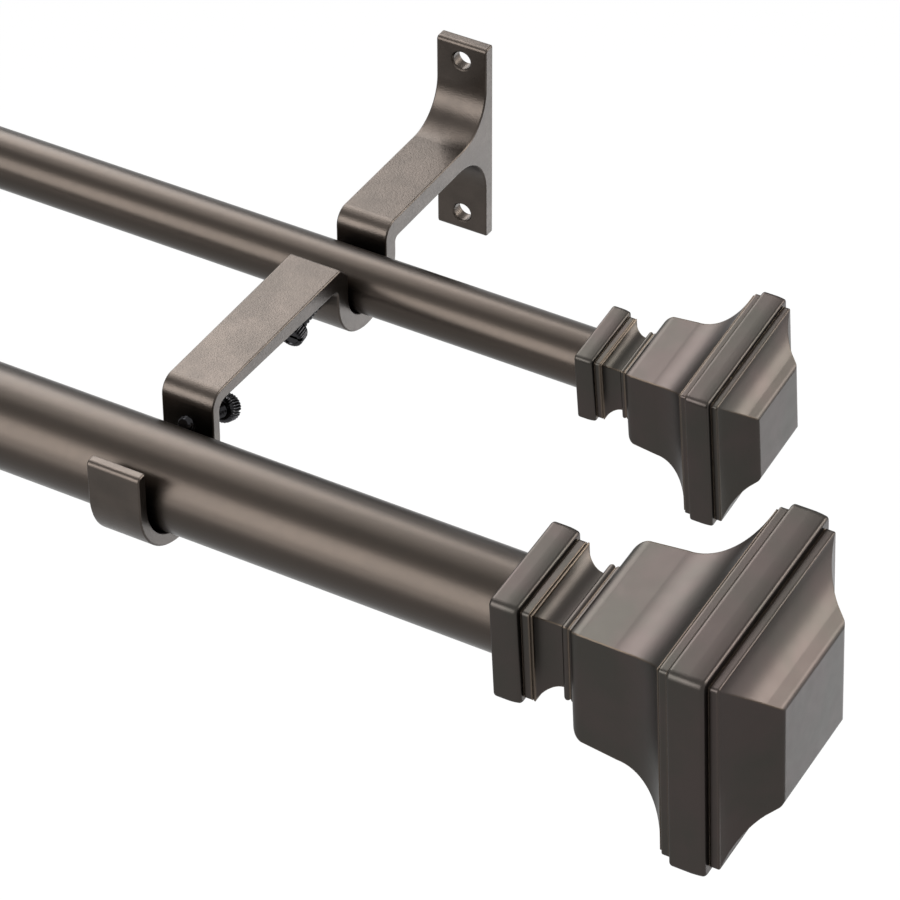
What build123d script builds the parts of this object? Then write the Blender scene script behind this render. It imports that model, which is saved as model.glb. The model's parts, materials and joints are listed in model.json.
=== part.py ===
# Double curtain pole on two wall brackets, in millimetres.
# +X runs along the rods to the right, +Y goes back to the wall and +Z is up.
# The origin is the middle of the right bracket's wall plate, on the wall.

from build123d import *
from math import cos, radians, sin, sqrt
import os

# Rods: each is an outer tube with an inner tube that slides out of its left end
front_tube_dia = 25.4
front_tube_wall = 0.8
front_inner_wall = 0.8
front_slip_gap = 0.8
back_tube_dia = 15.9
back_tube_wall = 0.7
back_inner_wall = 0.7
back_slip_gap = 0.9
bracket_spacing = 500.0
front_overhang = 103.4
back_overhang = 74.3
closed_gap = 0.4

# Glide on the hidden end of each inner tube, and the room between it and the end plug
glide_flange_length = 4.0
glide_spigot_length = 12.0
glide_wall = 1.6
glide_running_clearance = 0.08
glide_end_room = 14.0

# Bracket profile: one bar that thins from the wall plate to the front lip
bracket_width = 15.0
edge_break = 0.3
plate_height = 60.0
plate_thickness = 3.6
plate_front_edge_radius = 1.2
plate_back_edge_radius = 0.5
screw_hole_inset = 5.6
screw_hole_dia = 5.2
screw_hole_break = 0.4
arm_1_top = 5.5
arm_1_thickness = 6.0
upper_root_radius = 12.0
lower_root_radius = 14.0
bend_radius = 4.5
inner_bend_radius = 2.4
inner_drop_bend_radius = 1.2
back_rod_standoff = 65.2
back_cradle_height = -4.4
back_cradle_room = 1.45
back_cradle_wall = 5.0
arm_2_top = 6.4
arm_2_back_thickness = 5.5
arm_2_front_thickness = 3.7
arm_2_bevel = 3.7
bevel_edge_radius = 0.6
front_rod_standoff = 154.45
front_cradle_height = -6.85
front_cradle_room = 2.45
front_cradle_wall = 3.1
front_cradle_drop = 0.4
lip_top = 3.9
lip_outer_radius = 1.3
lip_inner_radius = 0.4
rod_seat_clearance = 0.05

# Thumb screws: both tilt so that the knobs hang below the arm
thumb_thread_dia = 4.0
thumb_running_clearance = 0.05
thumb_tip_chamfer = 0.6
thumb_knob_dia = 7.4
thumb_knob_length = 4.4
thumb_knob_shoulder = 1.5
thumb_knob_edge = 0.6
thumb_slot_width = 0.9
thumb_slot_depth = 1.2
front_thumb_tilt = 22.0
front_thumb_height = -4.0
front_thumb_reach = 2.4
front_thumb_shank = 15.9
back_thumb_tilt = 11.0
back_thumb_height = -5.0
back_thumb_reach = 1.15
back_thumb_shank = 13.3

# Finial moulding, square in section: sizes are those of the front finial
back_finial_ratio = 0.67
front_finial_turn = 4.4
back_finial_turn = 7.2
slab_length = 7.5
slab_half = 15.95
slab_crown_start = 3.8
slab_crown_drop = 0.35
slab_edge_radius = 0.9
slab_corner_radius = 1.8
groove_width = 0.35
groove_depth = 0.35
neck_step_length = 2.05
neck_step_setback = 1.75
neck_step_corner_radius = 0.9
neck_ridge_length = 0.4
neck_ridge_setback = 0.2
cove_length = 6.1
cove_setback = 0.5
neck_half = 10.05
neck_groove_depth = 0.3
bead_setout = 1.5
bead_rise = 0.4
bead_length = 1.75
bead_count = 2
block_half = 17.7
shoulder_radius = 4.45
waist_length = 9.2
waist_half = 18.3
flare_length = 17.3
flare_radius = 18.9
flare_rim_length = 0.35
thin_step_length = 2.3
thin_step_setback = 1.55
thin_step_edge_radius = 0.4
thin_step_corner_radius = 0.9
plate_length = 9.4
plate_half = 32.0
plate_crown_start = 5.0
plate_crown_drop = 0.3
plate_edge_radius = 0.9
plate_corner_radius = 2.0
end_step_length = 2.35
end_step_setback = 2.5
end_step_edge_radius = 0.4
end_step_corner_radius = 0.9
end_cove_setback = 0.7
end_cove_length = 6.2
end_cove_foot_half = 18.2
end_cove_sag = 1.05
end_slope_length = 3.3
end_face_half = 15.7
end_face_edge_radius = 2.0

# Finial fixing: a stud in the finial screws into a plug in the end of the tube
front_stud_dia = 6.0
front_stud_in_finial = 22.0
front_stud_in_plug = 14.0
back_stud_dia = 5.0
back_stud_in_finial = 15.0
back_stud_in_plug = 12.0
stud_end_chamfer = 0.6
stud_hole_end_room = 1.0
plug_length = 18.0
fixing_clearance = 0.05

os.makedirs("parts", exist_ok=True)

# Places worked out from the sizes above
front_inner_dia = front_tube_dia - 2 * front_tube_wall - 2 * front_slip_gap
back_inner_dia = back_tube_dia - 2 * back_tube_wall - 2 * back_slip_gap
front_cradle_radius = front_tube_dia / 2 + front_cradle_room
back_cradle_radius = back_tube_dia / 2 + back_cradle_room
screw_hole_spacing = plate_height - 2 * screw_hole_inset
back_y = -back_rod_standoff
front_y = -front_rod_standoff
back_z = back_cradle_height - back_cradle_radius + back_tube_dia / 2 + rod_seat_clearance
front_z = front_cradle_height - front_cradle_radius + front_tube_dia / 2 + rod_seat_clearance
back_wall_inner_y = back_y - back_cradle_radius
back_wall_outer_y = back_wall_inner_y - back_cradle_wall
back_drop_inner_y = back_y + back_cradle_radius
back_drop_outer_y = back_drop_inner_y + back_cradle_wall
front_drop_inner_y = front_y + front_cradle_radius
front_drop_outer_y = front_drop_inner_y + front_cradle_wall
lip_inner_y = front_y - front_cradle_radius
lip_outer_y = lip_inner_y - front_cradle_wall
front_outer_arc_z = front_cradle_height - front_cradle_drop
arm_1_bottom = arm_1_top - arm_1_thickness
sides = (("right", 0.0), ("left", -bracket_spacing))
mid_span = Plane.YZ.offset(-bracket_spacing / 2)


def bracket_outline(plane):
    """Outline of the bracket on a plane across it, from the wall along the top and back underneath."""
    with BuildSketch(plane) as outline:
        with BuildLine():
            FilletPolyline(
                (0, 0),
                (0, plate_height / 2),
                (-plate_thickness, plate_height / 2),
                (-plate_thickness, arm_1_top),
                (back_drop_inner_y, arm_1_top),
                (back_drop_inner_y, back_cradle_height),
                radius=[plate_back_edge_radius, plate_front_edge_radius, upper_root_radius, bend_radius],
            )
            ThreePointArc(
                (back_drop_inner_y, back_cradle_height),
                (back_y, back_cradle_height - back_cradle_radius),
                (back_wall_inner_y, back_cradle_height),
            )
            FilletPolyline(
                (back_wall_inner_y, back_cradle_height),
                (back_wall_inner_y, arm_2_top - arm_2_bevel),
                (back_wall_inner_y - arm_2_bevel, arm_2_top),
                (front_drop_inner_y, arm_2_top),
                (front_drop_inner_y, front_cradle_height),
                radius=[bevel_edge_radius, bevel_edge_radius, bend_radius],
            )
            ThreePointArc(
                (front_drop_inner_y, front_cradle_height),
                (front_y, front_cradle_height - front_cradle_radius),
                (lip_inner_y, front_cradle_height),
            )
            FilletPolyline(
                (lip_inner_y, front_cradle_height),
                (lip_inner_y, lip_top),
                (lip_outer_y, lip_top),
                (lip_outer_y, front_outer_arc_z),
                radius=[lip_inner_radius, lip_outer_radius],
            )
            ThreePointArc(
                (lip_outer_y, front_outer_arc_z),
                (front_y, front_outer_arc_z - front_cradle_radius - front_cradle_wall),
                (front_drop_outer_y, front_outer_arc_z),
            )
            FilletPolyline(
                (front_drop_outer_y, front_outer_arc_z),
                (front_drop_outer_y, arm_2_top - arm_2_front_thickness),
                (back_wall_outer_y, arm_2_top - arm_2_back_thickness),
                (back_wall_outer_y, back_cradle_height),
                radius=[inner_bend_radius, inner_bend_radius],
            )
            ThreePointArc(
                (back_wall_outer_y, back_cradle_height),
                (back_y, back_cradle_height - back_cradle_radius - back_cradle_wall),
                (back_drop_outer_y, back_cradle_height),
            )
            FilletPolyline(
                (back_drop_outer_y, back_cradle_height),
                (back_drop_outer_y, arm_1_bottom),
                (-plate_thickness, arm_1_bottom),
                (-plate_thickness, -plate_height / 2),
                (0, -plate_height / 2),
                (0, 0),
                radius=[
                    inner_drop_bend_radius,
                    lower_root_radius,
                    plate_front_edge_radius,
                    plate_back_edge_radius,
                ],
            )
        make_face()
    return outline.sketch


def thumb_plane(x, wall_y, height, facing, tilt):
    """Plane where a thumb screw's axis leaves the wall on the rod's side, Z towards the knob."""
    return Plane(
        origin=(x, wall_y, height),
        x_dir=(1, 0, 0),
        z_dir=(0, facing * cos(radians(tilt)), -sin(radians(tilt))),
    )


def front_thumb_plane(x):
    return thumb_plane(x, front_drop_inner_y, front_thumb_height, 1, front_thumb_tilt)


def back_thumb_plane(x):
    return thumb_plane(x, back_wall_inner_y, back_thumb_height, -1, back_thumb_tilt)


# Brackets, each with two wall screw holes and two tilted thumb screw holes
for side, bracket_x in sides:
    with BuildPart() as bracket:
        extrude(bracket_outline(Plane.YZ.offset(bracket_x)), bracket_width / 2, both=True)
        chamfer(bracket.faces().filter_by(Axis.X).edges(), edge_break)
        with BuildSketch(Plane.XZ):
            with Locations((bracket_x, screw_hole_spacing / 2), (bracket_x, -screw_hole_spacing / 2)):
                Circle(screw_hole_dia / 2)
        extrude(amount=plate_thickness, mode=Mode.SUBTRACT)
        rims = bracket.edges().filter_by(GeomType.CIRCLE)
        rims = rims.filter_by(lambda rim: abs(rim.radius - screw_hole_dia / 2) < 0.001)
        chamfer(rims.group_by(Axis.Y)[0], screw_hole_break)
        with BuildSketch(front_thumb_plane(bracket_x), back_thumb_plane(bracket_x)):
            Circle(thumb_thread_dia / 2 + thumb_running_clearance)
        extrude(amount=2 * back_cradle_wall, both=True, mode=Mode.SUBTRACT)
    bracket.part.label = "bracket_" + side
    export_step(bracket.part, "parts/bracket_" + side + ".step")


def thumb_screw(plane, reach, shank):
    """Thumb screw on the plane's Z axis: tip, thread and slotted knob with a domed shoulder."""
    thread_radius = thumb_thread_dia / 2
    knob_end = shank + thumb_knob_length
    knob_radius = thumb_knob_dia / 2
    profile_plane = Plane(origin=plane.origin, x_dir=plane.x_dir, z_dir=-plane.y_dir)
    with BuildPart() as screw:
        with BuildSketch(profile_plane):
            with BuildLine():
                Polyline(
                    (knob_radius - thumb_knob_edge, knob_end),
                    (0, knob_end),
                    (0, -reach),
                    (thread_radius - thumb_tip_chamfer, -reach),
                    (thread_radius, -reach + thumb_tip_chamfer),
                    (thread_radius, shank),
                    (knob_radius - thumb_knob_shoulder, shank),
                )
                TangentArc(
                    (knob_radius - thumb_knob_shoulder, shank),
                    (knob_radius, shank + thumb_knob_shoulder),
                    tangent=(1, 0),
                )
                Line((knob_radius, shank + thumb_knob_shoulder), (knob_radius, knob_end - thumb_knob_edge))
                TangentArc(
                    (knob_radius, knob_end - thumb_knob_edge),
                    (knob_radius - thumb_knob_edge, knob_end),
                    tangent=(0, 1),
                )
            make_face()
        revolve(axis=Axis(plane.origin, plane.z_dir))
        with BuildSketch(plane.offset(knob_end)):
            Rectangle(thumb_knob_dia, thumb_slot_width)
        extrude(amount=-thumb_slot_depth, mode=Mode.SUBTRACT)
    return screw.part


# Thumb screws that hold the rods down in their cradles
for side, bracket_x in sides:
    front_screw = thumb_screw(front_thumb_plane(bracket_x), front_thumb_reach, front_thumb_shank)
    front_screw.label = "thumb_screw_front_" + side
    export_step(front_screw, "parts/thumb_screw_front_" + side + ".step")
    back_screw = thumb_screw(back_thumb_plane(bracket_x), back_thumb_reach, back_thumb_shank)
    back_screw.label = "thumb_screw_back_" + side
    export_step(back_screw, "parts/thumb_screw_back_" + side + ".step")


# Half widths of the finial's steps, each set back from its slab, plate or neighbour
neck_step_half = slab_half - neck_step_setback
neck_ridge_half = neck_step_half - neck_ridge_setback
cove_start_half = neck_ridge_half - cove_setback
neck_groove_half = neck_half - neck_groove_depth
bead_half = neck_half + bead_setout
thin_step_half = plate_half - thin_step_setback
end_step_half = plate_half - end_step_setback
end_cove_half = end_step_half - end_cove_setback

# Levels along the finial from the tube's end, in the front finial's size
step_start = slab_length + groove_width
ridge_start = step_start + neck_step_length + groove_width
cove_start = ridge_start + neck_ridge_length
neck_start = cove_start + cove_length
bead_start = neck_start + groove_width
bead_end = bead_start + bead_count * bead_length
block_start = bead_end + groove_width
waist_start = block_start + shoulder_radius
flare_start = waist_start + waist_length
flare_end = flare_start + flare_length
flare_half = waist_half + flare_radius - sqrt(flare_radius**2 - flare_length**2)
rim_end = flare_end + flare_rim_length
thin_start = rim_end + groove_width
thin_end = thin_start + thin_step_length
plate_start = thin_end + groove_width
plate_end = plate_start + plate_length
end_step_start = plate_end + groove_width
end_cove_start = end_step_start + end_step_length
end_slope_start = end_cove_start + end_cove_length
finial_end = end_slope_start + end_slope_length


# Corners rounded between two levels, and rims rounded at a level, outside a half width
rounded_corners = (
    (0, slab_length, slab_corner_radius),
    (step_start, step_start + neck_step_length, neck_step_corner_radius),
    (thin_start, thin_end, thin_step_corner_radius),
    (plate_start, plate_end, plate_corner_radius),
    (end_step_start, end_cove_start, end_step_corner_radius),
)
rounded_rims = (
    (0, 0, slab_edge_radius),
    (slab_length, neck_step_half, slab_edge_radius),
    (thin_start, flare_half, thin_step_edge_radius),
    (plate_start, thin_step_half, plate_edge_radius),
    (plate_end, end_step_half, plate_edge_radius),
    (end_cove_start, end_cove_half, end_step_edge_radius),
    (finial_end, end_face_half / 2, end_face_edge_radius),
)


def finial_outline(plane, ratio):
    """Side outline of a finial, with the plane's X along the rod from the tube's end."""

    def at(level, half):
        return (level * ratio, half * ratio)

    with BuildSketch(plane) as outline:
        with BuildLine():
            Polyline(at(0, 0), at(0, slab_half), at(slab_crown_start, slab_half))
            TangentArc(
                at(slab_crown_start, slab_half),
                at(slab_length, slab_half - slab_crown_drop),
                tangent=(1, 0),
            )
            Polyline(
                at(slab_length, slab_half - slab_crown_drop),
                at(slab_length, neck_step_half - groove_depth),
                at(step_start, neck_step_half - groove_depth),
                at(step_start, neck_step_half),
                at(step_start + neck_step_length, neck_step_half),
                at(step_start + neck_step_length, neck_ridge_half - groove_depth),
                at(ridge_start, neck_ridge_half - groove_depth),
                at(ridge_start, neck_ridge_half),
                at(cove_start, neck_ridge_half),
                at(cove_start, cove_start_half),
            )
            TangentArc(at(neck_start, neck_half), at(cove_start, cove_start_half), tangent=(-1, 0))
            Polyline(
                at(neck_start, neck_half),
                at(neck_start, neck_groove_half),
                at(bead_start, neck_groove_half),
                at(bead_start, bead_half),
            )
            for bead in range(bead_count):
                start = bead_start + bead * bead_length
                ThreePointArc(
                    at(start, bead_half),
                    at(start + bead_length / 2, bead_half + bead_rise),
                    at(start + bead_length, bead_half),
                )
            Polyline(
                at(bead_end, bead_half),
                at(bead_end, neck_groove_half),
                at(block_start, neck_groove_half),
                at(block_start, block_half - shoulder_radius),
            )
            TangentArc(
                at(block_start, block_half - shoulder_radius),
                at(waist_start, block_half),
                tangent=(0, 1),
            )
            Line(at(waist_start, block_half), at(flare_start, waist_half))
            TangentArc(at(flare_start, waist_half), at(flare_end, flare_half), tangent=(1, 0))
            Polyline(
                at(flare_end, flare_half),
                at(rim_end, flare_half),
                at(rim_end, flare_half - groove_depth),
                at(thin_start, flare_half - groove_depth),
                at(thin_start, thin_step_half),
                at(thin_end, thin_step_half),
                at(thin_end, thin_step_half - groove_depth),
                at(plate_start, thin_step_half - groove_depth),
                at(plate_start, plate_half),
                at(plate_start + plate_crown_start, plate_half),
            )
            TangentArc(
                at(plate_start + plate_crown_start, plate_half),
                at(plate_end, plate_half - plate_crown_drop),
                tangent=(1, 0),
            )
            Polyline(
                at(plate_end, plate_half - plate_crown_drop),
                at(plate_end, end_step_half - groove_depth),
                at(end_step_start, end_step_half - groove_depth),
                at(end_step_start, end_step_half),
                at(end_cove_start, end_step_half),
                at(end_cove_start, end_cove_half),
            )
            SagittaArc(
                at(end_cove_start, end_cove_half),
                at(end_slope_start, end_cove_foot_half),
                -end_cove_sag * ratio,
            )
            Polyline(
                at(end_slope_start, end_cove_foot_half),
                at(finial_end, end_face_half),
                at(finial_end, 0),
                at(0, 0),
            )
        make_face()
        mirror(about=Plane.XZ)
    return outline.sketch


def corner_edges(body, plane, start, end):
    """Mitred corner edges of the moulding between two levels."""

    def on_corner(edge):
        place = plane.to_local_coords(edge.center())
        return start < place.X < end and abs(abs(place.Y) - abs(place.Z)) < 0.01

    return body.edges().filter_by(on_corner)


def rim_edges(body, plane, level, half):
    """Edges of the moulding at one level, outside a half width."""

    def on_rim(edge):
        place = plane.to_local_coords(edge.center())
        return abs(place.X - level) < 0.01 and max(abs(place.Y), abs(place.Z)) > half

    return body.edges().filter_by(on_rim)


def finial(end_x, y, z, turn, ratio, hole_dia, hole_depth):
    """Finial on a tube's right end: two outlines crossed, so that the corners are mitred."""
    across = (0, cos(radians(turn)), sin(radians(turn)))
    up = (0, -sin(radians(turn)), cos(radians(turn)))
    origin = (end_x, y, z)
    side_plane = Plane(origin=origin, x_dir=(1, 0, 0), z_dir=across)
    top_plane = Plane(origin=origin, x_dir=(1, 0, 0), z_dir=up)
    end_plane = Plane(origin=origin, x_dir=across, z_dir=(1, 0, 0))
    reach = 1.1 * plate_half * ratio
    with BuildPart() as body:
        extrude(finial_outline(side_plane, ratio), reach, both=True)
        extrude(finial_outline(top_plane, ratio), reach, both=True, mode=Mode.INTERSECT)
        for start, end, radius in rounded_corners:
            fillet(corner_edges(body, side_plane, start * ratio, end * ratio), radius * ratio)
        for level, inside, radius in rounded_rims:
            fillet(rim_edges(body, side_plane, level * ratio, inside * ratio), radius * ratio)
        with BuildSketch(end_plane):
            Circle(hole_dia / 2)
        extrude(amount=hole_depth, mode=Mode.SUBTRACT)
    return body.part


def rod_piece_plane(x, y, z, outward):
    """Plane across a rod with its Z outwards along the rod."""
    return Plane(origin=(x, y, z), x_dir=(0, 1, 0), z_dir=(outward, 0, 0))


def tube(left_x, right_x, y, z, dia, wall):
    with BuildPart() as body:
        with BuildSketch(rod_piece_plane(left_x, y, z, 1)):
            Circle(dia / 2)
            Circle(dia / 2 - wall, mode=Mode.SUBTRACT)
        extrude(amount=right_x - left_x)
    return body.part


def end_plug(end_x, y, z, outward, dia, hole_dia):
    with BuildPart() as body:
        with BuildSketch(rod_piece_plane(end_x, y, z, outward)):
            Circle(dia / 2)
            Circle(hole_dia / 2, mode=Mode.SUBTRACT)
        extrude(amount=-plug_length)
    return body.part


def stud(end_x, y, z, outward, dia, in_plug, in_finial):
    plane = rod_piece_plane(end_x, y, z, outward)
    with BuildPart() as body:
        with BuildSketch(plane.offset(-in_plug)):
            Circle(dia / 2)
        extrude(amount=in_plug + in_finial)
        chamfer(body.edges().filter_by(GeomType.CIRCLE), stud_end_chamfer)
    return body.part


def glide(end_x, y, z, flange_dia, spigot_dia):
    plane = rod_piece_plane(end_x, y, z, 1)
    with BuildPart() as body:
        with BuildSketch(plane):
            Circle(flange_dia / 2)
        extrude(amount=glide_flange_length)
        with BuildSketch(plane):
            Circle(spigot_dia / 2)
        extrude(amount=-glide_spigot_length)
        with BuildSketch(plane):
            Circle(spigot_dia / 2 - glide_wall)
        extrude(amount=glide_flange_length + glide_spigot_length, both=True, mode=Mode.SUBTRACT)
    return body.part


def save(piece, name):
    piece.label = name
    export_step(piece, "parts/" + name + ".step")


def build_rod(
    rod,
    y,
    z,
    overhang,
    outer_dia,
    outer_wall,
    inner_dia,
    inner_wall,
    turn,
    ratio,
    stud_dia,
    stud_in_plug,
    stud_in_finial,
):
    """One rod with its tubes, glide, end plugs, studs and finials."""
    right_x = overhang
    left_x = -bracket_spacing - overhang
    outer_bore = outer_dia - 2 * outer_wall
    inner_bore = inner_dia - 2 * inner_wall
    glide_x = right_x - plug_length - glide_end_room - glide_flange_length
    glide_flange_dia = outer_bore - 2 * glide_running_clearance
    glide_spigot_dia = inner_bore - 2 * fixing_clearance
    hole_dia = stud_dia + 2 * fixing_clearance
    hole_depth = stud_in_finial + stud_hole_end_room
    ends = (("right", 1, right_x, outer_bore), ("left", -1, left_x, inner_bore))
    save(tube(left_x + closed_gap, right_x, y, z, outer_dia, outer_wall), rod + "_outer_tube")
    save(tube(left_x, glide_x, y, z, inner_dia, inner_wall), rod + "_inner_tube")
    save(glide(glide_x, y, z, glide_flange_dia, glide_spigot_dia), rod + "_glide")
    for side, outward, end_x, bore in ends:
        plug_dia = bore - 2 * fixing_clearance
        save(end_plug(end_x, y, z, outward, plug_dia, hole_dia), rod + "_end_plug_" + side)
        save(
            stud(end_x, y, z, outward, stud_dia, stud_in_plug, stud_in_finial),
            rod + "_finial_stud_" + side,
        )
    right_finial = finial(right_x, y, z, turn, ratio, hole_dia, hole_depth)
    save(right_finial, rod + "_finial_right")
    save(mirror(right_finial, about=mid_span), rod + "_finial_left")


build_rod(
    "front",
    y=front_y,
    z=front_z,
    overhang=front_overhang,
    outer_dia=front_tube_dia,
    outer_wall=front_tube_wall,
    inner_dia=front_inner_dia,
    inner_wall=front_inner_wall,
    turn=front_finial_turn,
    ratio=1.0,
    stud_dia=front_stud_dia,
    stud_in_plug=front_stud_in_plug,
    stud_in_finial=front_stud_in_finial,
)
build_rod(
    "back",
    y=back_y,
    z=back_z,
    overhang=back_overhang,
    outer_dia=back_tube_dia,
    outer_wall=back_tube_wall,
    inner_dia=back_inner_dia,
    inner_wall=back_inner_wall,
    turn=back_finial_turn,
    ratio=back_finial_ratio,
    stud_dia=back_stud_dia,
    stud_in_plug=back_stud_in_plug,
    stud_in_finial=back_stud_in_finial,
)
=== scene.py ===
# Double curtain pole: dark bronze rods, brackets and finials on a white background.
# Lengths are in metres, in the frame of the CAD model.
import json
import math

import bmesh
import bpy
from mathutils import Euler, Matrix, Quaternion, Vector


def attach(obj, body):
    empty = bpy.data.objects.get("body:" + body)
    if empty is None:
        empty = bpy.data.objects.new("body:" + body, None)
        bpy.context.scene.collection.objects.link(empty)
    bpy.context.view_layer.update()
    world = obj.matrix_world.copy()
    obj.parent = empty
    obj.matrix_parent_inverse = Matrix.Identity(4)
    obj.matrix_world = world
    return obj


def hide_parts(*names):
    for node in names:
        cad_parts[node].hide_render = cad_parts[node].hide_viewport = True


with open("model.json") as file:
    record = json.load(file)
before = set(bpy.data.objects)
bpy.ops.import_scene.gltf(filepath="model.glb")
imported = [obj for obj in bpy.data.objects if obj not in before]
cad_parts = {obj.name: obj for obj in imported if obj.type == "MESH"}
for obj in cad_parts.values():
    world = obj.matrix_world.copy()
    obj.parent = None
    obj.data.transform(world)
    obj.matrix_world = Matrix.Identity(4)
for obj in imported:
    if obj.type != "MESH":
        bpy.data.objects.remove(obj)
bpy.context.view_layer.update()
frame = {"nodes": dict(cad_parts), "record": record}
scene = bpy.context.scene
scene.view_settings.view_transform = "Standard"

# Sockets of a colour Mix node, reached by number because other sockets have the same names
mix_colour_a = 6
mix_colour_b = 7
mix_colour_result = 2

# Samples of the Bevel nodes, and the middle part of a noise that a paint's roughness follows
bevel_samples = 8
noise_middle = (0.3, 0.7)


class Nodes:
    """Short ways to add and join the nodes of a tree."""

    def __init__(self, tree):
        self.tree = tree
        self.tree.nodes.clear()

    def add(self, kind, **values):
        """Add a node, and set each value on its property or socket of that name."""
        node = self.tree.nodes.new(kind)
        for key, value in values.items():
            if hasattr(node, key):
                setattr(node, key, value)
            else:
                self.put(node, key, value)
        return node

    def put(self, node, socket, value):
        """Set a socket to a value, or link it to another node's output."""
        if isinstance(value, bpy.types.NodeSocket):
            self.tree.links.new(value, node.inputs[socket])
        else:
            node.inputs[socket].default_value = value

    def calculate(self, operation, one, two, use_clamp=False):
        node = self.add("ShaderNodeMath", operation=operation, use_clamp=use_clamp)
        self.put(node, 0, one)
        self.put(node, 1, two)
        return node.outputs[0]

    def seen_ray(self):
        """1 for rays that show a surface, straight, in gloss or through glass, and 0 for light."""
        ray = self.add("ShaderNodeLightPath").outputs
        straight_or_glossy = self.calculate("MAXIMUM", ray["Is Camera Ray"], ray["Is Glossy Ray"])
        return self.calculate("MAXIMUM", straight_or_glossy, ray["Is Transmission Ray"])

    def mix_shaders(self, share, one, two):
        node = self.add("ShaderNodeMixShader")
        for socket, value in enumerate((share, one, two)):
            self.put(node, socket, value)
        return node.outputs[0]


class Paint(Nodes):
    """A procedural material under construction, on a Principled shader."""

    def __init__(self, name):
        self.material = bpy.data.materials.new(name)
        self.material.use_nodes = True
        super().__init__(self.material.node_tree)
        self.output = self.add("ShaderNodeOutputMaterial")
        self.surface = self.add("ShaderNodeBsdfPrincipled")
        self.put(self.output, "Surface", self.surface.outputs[0])
        self.coordinates = self.add("ShaderNodeTexCoord").outputs["Object"]

    def noise(self, scale, detail, roughness=0.5, along=None):
        """Noise of a scale per metre, drawn out along the rods where along is under 1."""
        vector = self.coordinates
        if along is not None:
            drawn_out = self.add("ShaderNodeMapping", Vector=vector, Scale=(along, 1, 1))
            vector = drawn_out.outputs["Vector"]
        sockets = {"Scale": scale, "Detail": detail, "Roughness": roughness, "Vector": vector}
        return self.add("ShaderNodeTexNoise", **sockets).outputs["Fac"]

    def remap(self, value, low, high, new_low=0, new_high=1):
        old = {"From Min": low, "From Max": high}
        new = {"To Min": new_low, "To Max": new_high}
        return self.add("ShaderNodeMapRange", Value=value, **old, **new).outputs[0]

    def mix(self, factor, one, two):
        """Mix two colours, of which the first may come from another node."""
        node = self.add("ShaderNodeMix", data_type="RGBA", Factor=factor)
        linked = isinstance(one, bpy.types.NodeSocket)
        self.put(node, mix_colour_a, one if linked else (*one, 1))
        self.put(node, mix_colour_b, (*two, 1))
        return node.outputs[mix_colour_result]

    def bump(self, height, strength, distance, normal=None):
        node = self.add("ShaderNodeBump", Strength=strength, Distance=distance, Height=height)
        if normal is not None:
            self.put(node, "Normal", normal)
        return node.outputs["Normal"]

    def bevel(self, radius):
        node = self.add("ShaderNodeBevel", samples=bevel_samples, Radius=radius)
        return node.outputs["Normal"]

    def edge(self, radius):
        """How far the rounded normal turns away from the face's own: 0 on a face, more at an edge."""
        turned = self.add("ShaderNodeVectorMath", operation="DOT_PRODUCT")
        self.put(turned, 0, self.bevel(radius))
        self.put(turned, 1, self.add("ShaderNodeNewGeometry").outputs["Normal"])
        return self.calculate("SUBTRACT", 1.0, turned.outputs["Value"], use_clamp=True)

    def set(self, socket, value):
        """Set a number or colour that is the same all over the surface."""
        self.surface.inputs[socket].default_value = value

    def finish(self, colour, roughness, patches, normal=None, metallic=1.0, tint=1.0, coat=None):
        """Join a paint's parts on the shader, and give back the material.

        The noise patches varies the roughness between its two values. A tint under 1 dims the
        sheen at grazing angles, and coat is the weight and roughness of a clear coat.
        """
        self.put(self.surface, "Base Color", colour)
        self.put(self.surface, "Roughness", self.remap(patches, *noise_middle, *roughness))
        self.set("Metallic", metallic)
        self.set("Specular Tint", (tint, tint, tint, 1))
        if normal is not None:
            self.put(self.surface, "Normal", normal)
        if coat is not None:
            self.set("Coat Weight", coat[0])
            self.set("Coat Roughness", coat[1])
            self.put(self.surface, "Coat Normal", normal)
        return self.material


def finial_paint():
    """Satin dark bronze with a cloudy tone, and copper along the edges that is partly rubbed wear and
    partly a painted highlight.
    """
    paint = Paint("finial_paint")
    cloud = paint.remap(paint.noise(scale=55, detail=4), low=0.38, high=0.62)
    dark = paint.mix(cloud, (0.044, 0.0405, 0.036), (0.051, 0.042, 0.039))
    # Copper on the edges: partly rubbed wear, partly a painted highlight standing in for the light
    # that the edges catch
    edge_wear_and_highlight = paint.remap(paint.edge(radius=0.0008), low=0.008, high=0.10, new_high=0.6)
    flake = paint.noise(scale=6000, detail=2)
    rounded = paint.bevel(radius=0.0006)
    return paint.finish(
        colour=paint.mix(edge_wear_and_highlight, dark, (0.15, 0.115, 0.085)),
        roughness=(0.345, 0.375),
        patches=paint.noise(scale=250, detail=3),
        normal=paint.bump(flake, strength=0.05, distance=0.00003, normal=rounded),
        tint=0.6,
    )


def rod_paint():
    """Brown bronze under a clear sheen, with a fine grain drawn out along the rods."""
    paint = Paint("rod_paint")
    cloud = paint.remap(paint.noise(scale=60, detail=3, along=0.15), low=0.35, high=0.65)
    peel = paint.noise(scale=1500, detail=3, roughness=0.6, along=0.35)
    flake = paint.noise(scale=7000, detail=2)
    peeled = paint.bump(peel, strength=0.10, distance=0.0001)
    return paint.finish(
        colour=paint.mix(cloud, (0.026, 0.0185, 0.0130), (0.033, 0.0235, 0.0170)),
        roughness=(0.29, 0.36),
        patches=paint.noise(scale=500, detail=4),
        normal=paint.bump(flake, strength=0.05, distance=0.00003, normal=peeled),
        tint=0.6,
        coat=(0.45, 0.33),
    )


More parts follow.
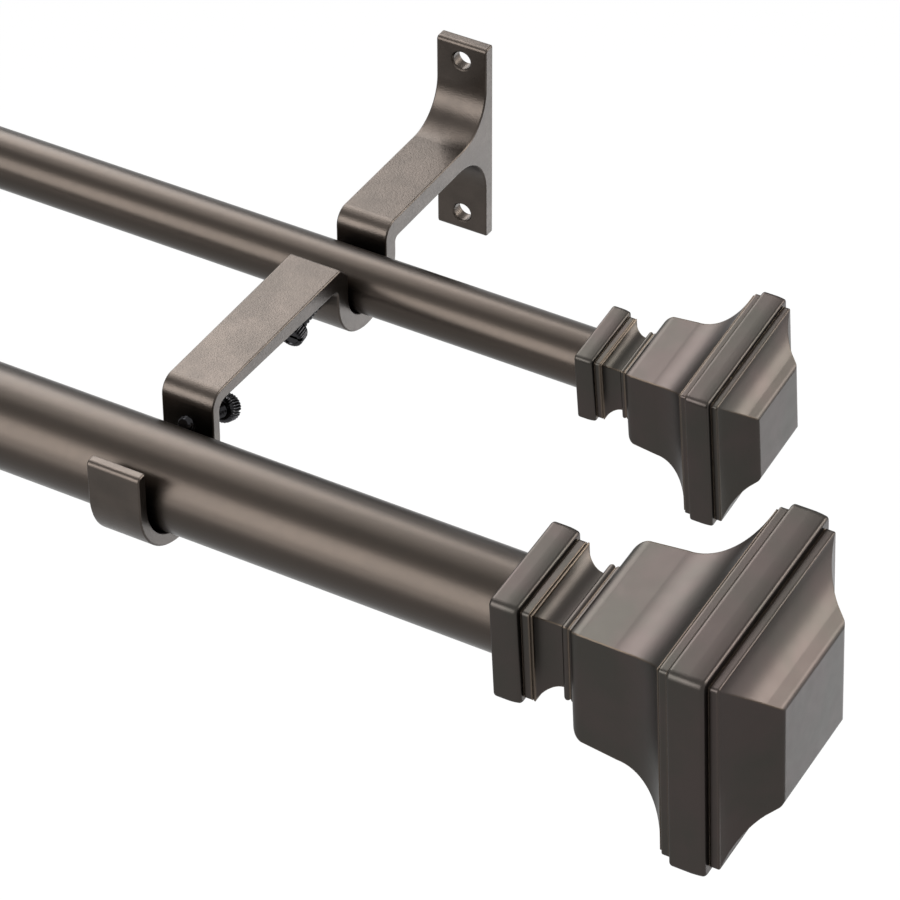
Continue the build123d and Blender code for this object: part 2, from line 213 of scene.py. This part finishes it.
def bracket_paint():
    """Sandy dark bronze powder coat."""
    paint = Paint("bracket_powder_coat")
    cloud = paint.remap(paint.noise(scale=120, detail=3), low=0.35, high=0.65)
    sand = paint.noise(scale=2300, detail=2, roughness=0.6)
    rounded = paint.bevel(radius=0.0003)
    return paint.finish(
        colour=paint.mix(cloud, (0.037, 0.0285, 0.0225), (0.049, 0.0380, 0.0305)),
        roughness=(0.30, 0.38),
        patches=paint.noise(scale=700, detail=4),
        normal=paint.bump(sand, strength=0.20, distance=0.0002, normal=rounded),
        tint=0.6,
        coat=(0.37, 0.34),
    )


def screw_black():
    """Black oxide on the thumb screws."""
    paint = Paint("screw_black")
    cloud = paint.noise(scale=900, detail=3)
    grain = paint.noise(scale=3000, detail=2)
    return paint.finish(
        colour=paint.mix(cloud, (0.018, 0.018, 0.020), (0.038, 0.037, 0.039)),
        roughness=(0.16, 0.27),
        patches=paint.noise(scale=1500, detail=3),
        normal=paint.bump(grain, strength=0.1, distance=0.00003),
        tint=0.7,
    )


def stud_steel():
    """Zinc plate on the studs inside the finials."""
    paint = Paint("stud_steel")
    cloud = paint.noise(scale=500, detail=3)
    return paint.finish(
        colour=paint.mix(cloud, (0.55, 0.55, 0.54), (0.66, 0.66, 0.64)),
        roughness=(0.25, 0.4),
        patches=paint.noise(scale=900, detail=3),
    )


def nylon():
    """Moulded black nylon of the glides and plugs."""
    paint = Paint("nylon")
    cloud = paint.noise(scale=300, detail=3)
    grain = paint.noise(scale=2500, detail=3)
    return paint.finish(
        colour=paint.mix(cloud, (0.045, 0.045, 0.045), (0.065, 0.064, 0.063)),
        roughness=(0.45, 0.6),
        patches=paint.noise(scale=900, detail=3),
        normal=paint.bump(grain, strength=0.1, distance=0.00005),
        metallic=0.0,
    )


materials = {
    "finial_paint": finial_paint(),
    "rod_paint": rod_paint(),
    "bracket_powder_coat": bracket_paint(),
    "screw_black": screw_black(),
    "stud_steel": stud_steel(),
    "nylon": nylon(),
}
slot_of = {row["node"]: row["material_slot"] for row in frame["record"]["subparts"]}
for name, node in frame["nodes"].items():
    node.data.materials.clear()
    node.data.materials.append(materials[slot_of[name]])


# Thumb screws: meshes with a thread, a knurled knob and a slot, in place of the plain solids
thread_radius = 0.0020
thread_depth = 0.00055
thread_pitch = 0.00125
thread_flank_slope = 2.6
thread_crest_share = 0.15
tip_chamfer = 0.0006
knob_radius = 0.0037
knob_length = 0.0044
knob_shoulder = 0.0015
knob_edge = 0.0006
knob_recess = 0.0003
rim_inset = 1.6 * knob_edge
recess_inset = 2.0 * knob_edge
recess_floor_inset = 3.5 * knob_edge
ridges = 28
ridge_depth = 0.0004
ridge_fullness = 0.8
slot_width = 0.0009
slot_depth = 0.0012
sharp_angle = math.radians(40)

# How finely the screws are divided
around_count = 168
rows_per_pitch = 8
shoulder_rows = 6
shoulder_rows_without_knurl = 2
side_rows = 5
edge_rows = 4

# Where the screws stand in the brackets: the CAD model has the same places
bracket_places = {"right": 0.0, "left": -0.5}
screws = {
    "front": {"y": -0.1393, "z": -0.004, "facing": 1, "tilt": 22, "reach": 0.0024, "shank": 0.0159},
    "back": {"y": -0.0746, "z": -0.005, "facing": -1, "tilt": 11, "reach": 0.00115, "shank": 0.0133},
}


def angle_around(i):
    return 2 * math.pi * i / around_count


def thread_at(height, angle, reach):
    """Radius of the thread at a height and an angle, with its chamfered tip."""
    phase = (height / thread_pitch - angle / (2 * math.pi)) % 1
    depth_share = min(1, max(0, thread_flank_slope * abs(phase - 0.5) - thread_crest_share))
    chamfered = thread_radius - tip_chamfer + height + reach
    return min(thread_radius - thread_depth * depth_share, chamfered)


def knob_rings(shank):
    """Rings of the knob as radius, height and share of the knurl's depth."""
    top = shank + knob_length
    side_length = knob_length - knob_shoulder - knob_edge
    rings = [(knob_radius - knob_shoulder, shank, 0)]
    for step in range(1, shoulder_rows + 1):
        turn = math.radians(90 * step / shoulder_rows)
        knurled = max(0, step - shoulder_rows_without_knurl)
        rings.append((
            knob_radius - knob_shoulder * (1 - math.sin(turn)),
            shank + knob_shoulder * (1 - math.cos(turn)),
            knurled / (shoulder_rows - shoulder_rows_without_knurl),
        ))
    for step in range(1, side_rows + 1):
        rings.append((knob_radius, shank + knob_shoulder + step * side_length / side_rows, 1))
    for step in range(1, edge_rows + 1):
        turn = math.radians(90 * step / edge_rows)
        rings.append((
            knob_radius - knob_edge * (1 - math.cos(turn)),
            top - knob_edge * (1 - math.sin(turn)),
            1 - step / edge_rows,
        ))
    rings.append((knob_radius - rim_inset, top, 0))
    rings.append((knob_radius - recess_inset, top - knob_recess, 0))
    rings.append((knob_radius - recess_floor_inset, top - knob_recess, 0))
    return rings


def screw_rows(reach, shank):
    """Rows of points round a screw's axis, from tip to knob, as radius and height."""
    rows = []
    count = round((shank + reach) / (thread_pitch / rows_per_pitch))
    for row in range(count + 1):
        height = -reach + (shank + reach) * row / count
        radii = [thread_at(height, angle_around(i), reach) for i in range(around_count)]
        rows.append([(radius, height) for radius in radii])
    for radius, height, share in knob_rings(shank):
        ring = []
        for i in range(around_count):
            ridge = abs(math.sin(ridges * math.pi * i / around_count)) ** ridge_fullness
            ring.append((radius - share * ridge_depth * (1 - ridge), height))
        rows.append(ring)
    return rows


def turned_mesh(name, rows, origin, axis, across, up):
    """Closed mesh through rows of points round an axis."""
    bm = bmesh.new()
    rings = []
    for row in rows:
        ring = []
        for i, (radius, height) in enumerate(row):
            angle = angle_around(i)
            outward = across * math.cos(angle) + up * math.sin(angle)
            ring.append(bm.verts.new(origin + axis * height + outward * radius))
        rings.append(ring)
    for low, high in zip(rings, rings[1:]):
        for i in range(around_count):
            j = (i + 1) % around_count
            bm.faces.new((low[i], low[j], high[j], high[i]))
    bm.faces.new(rings[0])
    bm.faces.new(rings[-1])
    bmesh.ops.recalc_face_normals(bm, faces=bm.faces[:])
    mesh = bpy.data.meshes.new(name)
    bm.to_mesh(mesh)
    bm.free()
    return mesh


def cut_slot(piece, knob_top, turn):
    """Cut the slot out of the knob with a bar that lies along the rods."""
    bpy.ops.mesh.primitive_cube_add(size=1)
    bar = bpy.context.object
    bar.dimensions = (3 * knob_radius, slot_width, 2 * slot_depth)
    bar.rotation_mode = "QUATERNION"
    bar.rotation_quaternion = turn
    bar.location = knob_top
    cut = piece.modifiers.new("slot", "BOOLEAN")
    cut.object = bar
    cut.solver = "EXACT"
    bpy.context.view_layer.update()
    evaluated = piece.evaluated_get(bpy.context.evaluated_depsgraph_get())
    whole = bpy.data.meshes.new_from_object(evaluated)
    piece.modifiers.clear()
    piece.data = whole
    bpy.data.objects.remove(bar)


def thumb_screw(node, origin, axis, reach, shank):
    """Detailed thumb screw that stands for a node and rides on the body of the same name."""
    across = Vector((1, 0, 0))
    up = axis.cross(across)
    mesh = turned_mesh(node + "_detail", screw_rows(reach, shank), origin, axis, across, up)
    piece = bpy.data.objects.new(node + "_detail", mesh)
    scene.collection.objects.link(piece)
    turn = Matrix((across, up, axis)).transposed().to_quaternion()
    cut_slot(piece, origin + axis * (shank + knob_length), turn)
    for face in piece.data.polygons:
        face.use_smooth = True
    piece.data.set_sharp_from_angle(angle=sharp_angle)
    piece.data.materials.clear()
    piece.data.materials.append(materials["screw_black"])
    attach(piece, node)
    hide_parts(node)


for side, x in bracket_places.items():
    for rod, screw in screws.items():
        tilt = math.radians(screw["tilt"])
        thumb_screw(
            f"thumb_screw_{rod}_{side}",
            origin=Vector((x, screw["y"], screw["z"])),
            axis=Vector((0, screw["facing"] * math.cos(tilt), -math.sin(tilt))),
            reach=screw["reach"],
            shank=screw["shank"],
        )


# Lights: softboxes at a distance from the pole's right end
light_target = Vector((0.05, -0.12, 0))
light_distance = 2.2


def soft_light(name, azimuth, elevation, width, height, brightness, colour=(1, 1, 1)):
    """Softbox with its direction and apparent size in degrees.

    Azimuth 0 is behind the pole, on the wall's side, and 90 is off its right end. A brightness
    of 1 is that of white paper.
    """
    turn, rise = math.radians(azimuth), math.radians(elevation)
    level = math.cos(rise)
    outward = Vector((math.sin(turn) * level, math.cos(turn) * level, math.sin(rise)))
    data = bpy.data.lights.new(name, "AREA")
    data.shape = "RECTANGLE"
    data.size = 2 * light_distance * math.tan(math.radians(width / 2))
    data.size_y = 2 * light_distance * math.tan(math.radians(height / 2))
    data.energy = brightness * math.pi * data.size * data.size_y
    data.color = colour
    lamp = bpy.data.objects.new(name, data)
    lamp.location = light_target + outward * light_distance
    lamp.rotation_mode = "QUATERNION"
    lamp.rotation_quaternion = outward.to_track_quat("Z", "Y")
    scene.collection.objects.link(lamp)
    lamp.visible_camera = False


warm_white = (1.0, 0.98, 0.93)
cool_white = (0.94, 0.97, 1.0)
soft_light("back_left_light", azimuth=-47.5, elevation=34.5, width=27, height=39, brightness=8.2)
soft_light("high_left_light", azimuth=-72, elevation=61, width=26, height=14, brightness=3.4)
soft_light("far_left_light", azimuth=-50, elevation=5, width=24, height=16, brightness=1.6)
soft_light("top_light", azimuth=-13, elevation=54, width=24, height=14, brightness=1.3)
soft_light("back_right_light", azimuth=51, elevation=22, width=24, height=27, brightness=11.0,
           colour=warm_white)
soft_light("backdrop_light", azimuth=47, elevation=-7, width=20, height=24, brightness=2.6)
soft_light("front_light", azimuth=-155, elevation=20, width=46, height=34, brightness=6.2)
soft_light("front_low_light", azimuth=-155, elevation=-7, width=40, height=14, brightness=3.2)
soft_light("low_light", azimuth=21, elevation=-38, width=24, height=19, brightness=3.2,
           colour=cool_white)

# World: white where it is seen, and dimmer as a light
seen_strength = 1.0
light_strength = 0.6
world = bpy.data.worlds.new("world")
scene.world = world
world.use_nodes = True
sky = Nodes(world.node_tree)
seen = sky.add("ShaderNodeBackground", Color=(1, 1, 1, 1), Strength=seen_strength)
around = sky.add("ShaderNodeBackground", Color=(1, 1, 1, 1), Strength=light_strength)
sky_output = sky.add("ShaderNodeOutputWorld")
sky_mix = sky.mix_shaders(sky.seen_ray(), around.outputs[0], seen.outputs[0])
sky.put(sky_output, "Surface", sky_mix)

# Floor: far below the pole, as under a window, and veiled with white where it is seen
floor_radius = 6
floor_level = -1.8
veil_share = 0.9
veil_strength = 1.03
bpy.ops.mesh.primitive_circle_add(
    vertices=64, radius=floor_radius, fill_type="NGON", location=(0, 0, floor_level)
)
floor = bpy.context.object
floor.name = "floor"
pale = Paint("floor_paint")
cloud = pale.noise(scale=2, detail=3)
pale.put(pale.surface, "Base Color", pale.mix(cloud, (0.83, 0.83, 0.83), (0.86, 0.86, 0.86)))
pale.set("Roughness", 0.8)
pale.set("Specular IOR Level", 0.0)
share = pale.calculate("MULTIPLY", pale.seen_ray(), veil_share)
white = pale.add("ShaderNodeEmission", Strength=veil_strength)
veiled = pale.mix_shaders(share, pale.surface.outputs[0], white.outputs[0])
pale.put(pale.output, "Surface", veiled)
floor.data.materials.append(pale.material)

# Camera: in front of the pole's right end, above it and to its right, at the photo's angle
camera_place = (0.5099, -0.8887, 0.7028)
camera_lens = 185.93
camera_sensor = 36.0
look_down = math.radians(38.37)
look_left = math.radians(30.14)
camera_roll = math.radians(-0.28)
camera_data = bpy.data.cameras.new("camera")
camera_data.sensor_width = camera_sensor
camera_data.lens = camera_lens
camera = bpy.data.objects.new("camera", camera_data)
scene.collection.objects.link(camera)
scene.camera = camera
camera.location = camera_place
camera.rotation_mode = "QUATERNION"
aim = Euler((math.pi / 2 - look_down, 0, look_left), "XYZ").to_quaternion()
camera.rotation_quaternion = aim @ Quaternion((0, 0, 1), camera_roll)
